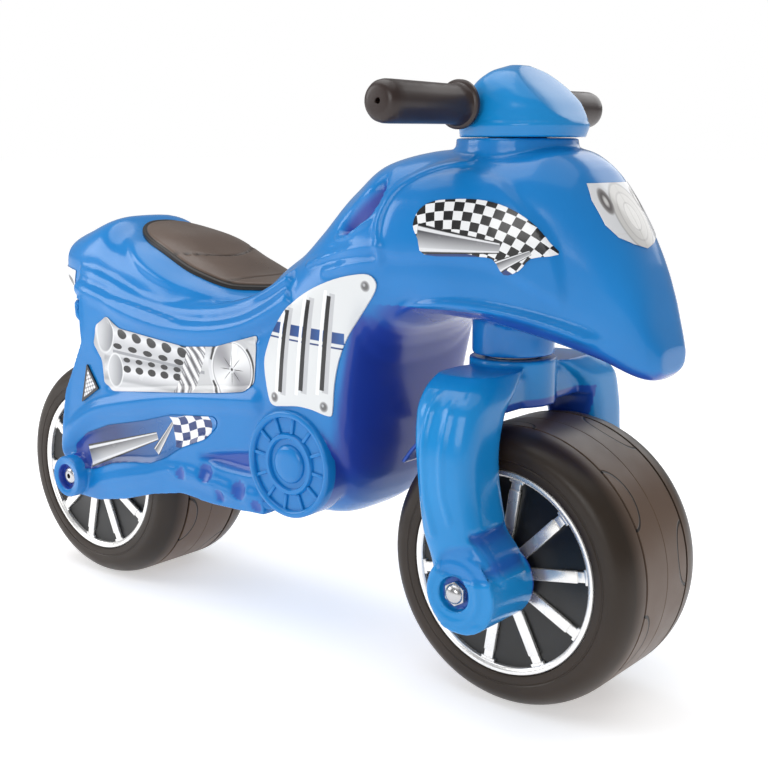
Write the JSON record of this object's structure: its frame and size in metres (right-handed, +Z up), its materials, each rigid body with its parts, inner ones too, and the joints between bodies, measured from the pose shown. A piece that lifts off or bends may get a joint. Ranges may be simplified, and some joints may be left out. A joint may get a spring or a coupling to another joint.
{
  "type": "ride-on toy motorbike",
  "caption": "Foot-to-floor toddler motorbike with a hollow plastic body, a steered front fork, a saddle pad, a carry handle in the tank and wide hollow wheels.",
  "frame": {"origin": "on the floor under the middle of the bike, halfway between the two axles", "axes": "+X forward, +Y to the rider's left, +Z up"},
  "size_m": [0.696, 0.284, 0.481],
  "materials": {
    "blue_plastic": "glossy blow-moulded plastic",
    "fork_blue": "glossy blow-moulded plastic, a little lighter",
    "seat_plastic": "satin brown-black moulded plastic",
    "bush_plastic": "plain natural plastic",
    "steel": "bright zinc-plated steel",
    "white_sticker": "glossy printed film",
    "silver_print": "glossy printed film in silver greys",
    "navy_print": "glossy printed film in dark blue",
    "pearl_reflector": "pearly faceted film",
    "grip_plastic": "satin brown-black plastic",
    "tyre_plastic": "satin brown-black blow-moulded plastic",
    "cap_black": "matt black",
    "chrome_trim": "bright chrome film on moulded plastic"
  },
  "bodies": {
    "body": {"body_shell": "blue_plastic", "seat_pad": "seat_plastic", "lower_bush": "bush_plastic", "upper_bush": "bush_plastic", "rear_axle": "steel", "rear_axle_caps": "steel", "rear_spacers": "steel", "side_panel_right": "white_sticker", "side_panel_left": "white_sticker", "exhaust_sticker_right": "silver_print", "exhaust_sticker_left": "silver_print", "fairing_sticker_right": "white_sticker", "fairing_sticker_left": "white_sticker", "swingarm_sticker_right": "navy_print", "swingarm_sticker_left": "navy_print", "reflector_right": "pearl_reflector", "reflector_left": "pearl_reflector", "headlight_right": "white_sticker", "headlight_left": "white_sticker", "tail_light_right": "white_sticker", "tail_light_left": "white_sticker"},
    "steering": {"front_fork": "fork_blue", "steering_column": "steel", "column_nut": "steel", "headset_cover": "blue_plastic", "handlebar_tube": "steel", "grip_right": "grip_plastic", "grip_left": "grip_plastic", "front_axle": "steel", "front_axle_nuts": "steel", "front_spacers": "steel"},
    "front_wheel": {"front_wheel_shell": "tyre_plastic", "front_wheel_sleeve": "bush_plastic", "front_hub_cap_right": "cap_black", "front_hub_cap_left": "cap_black", "front_spokes_right": "chrome_trim", "front_spokes_left": "chrome_trim"},
    "rear_wheel": {"rear_wheel_shell": "tyre_plastic", "rear_wheel_sleeve": "bush_plastic", "rear_hub_cap_right": "cap_black", "rear_hub_cap_left": "cap_black", "rear_spokes_right": "chrome_trim", "rear_spokes_left": "chrome_trim"}
  },
  "joints": [
    {"name": "steering", "type": "hinge", "parent": "body", "child": "steering", "pos_m": [0.21, 0, 0.262], "axis": [0, 0, 1], "range_deg": [-30, 30]},
    {"name": "front_wheel_spin", "type": "hinge", "parent": "steering", "child": "front_wheel", "pos_m": [0.24, 0, 0.108], "axis": [0, 1, 0], "continuous": true},
    {"name": "rear_wheel_spin", "type": "hinge", "parent": "body", "child": "rear_wheel", "pos_m": [-0.24, 0, 0.108], "axis": [0, 1, 0], "continuous": true}
  ]
}
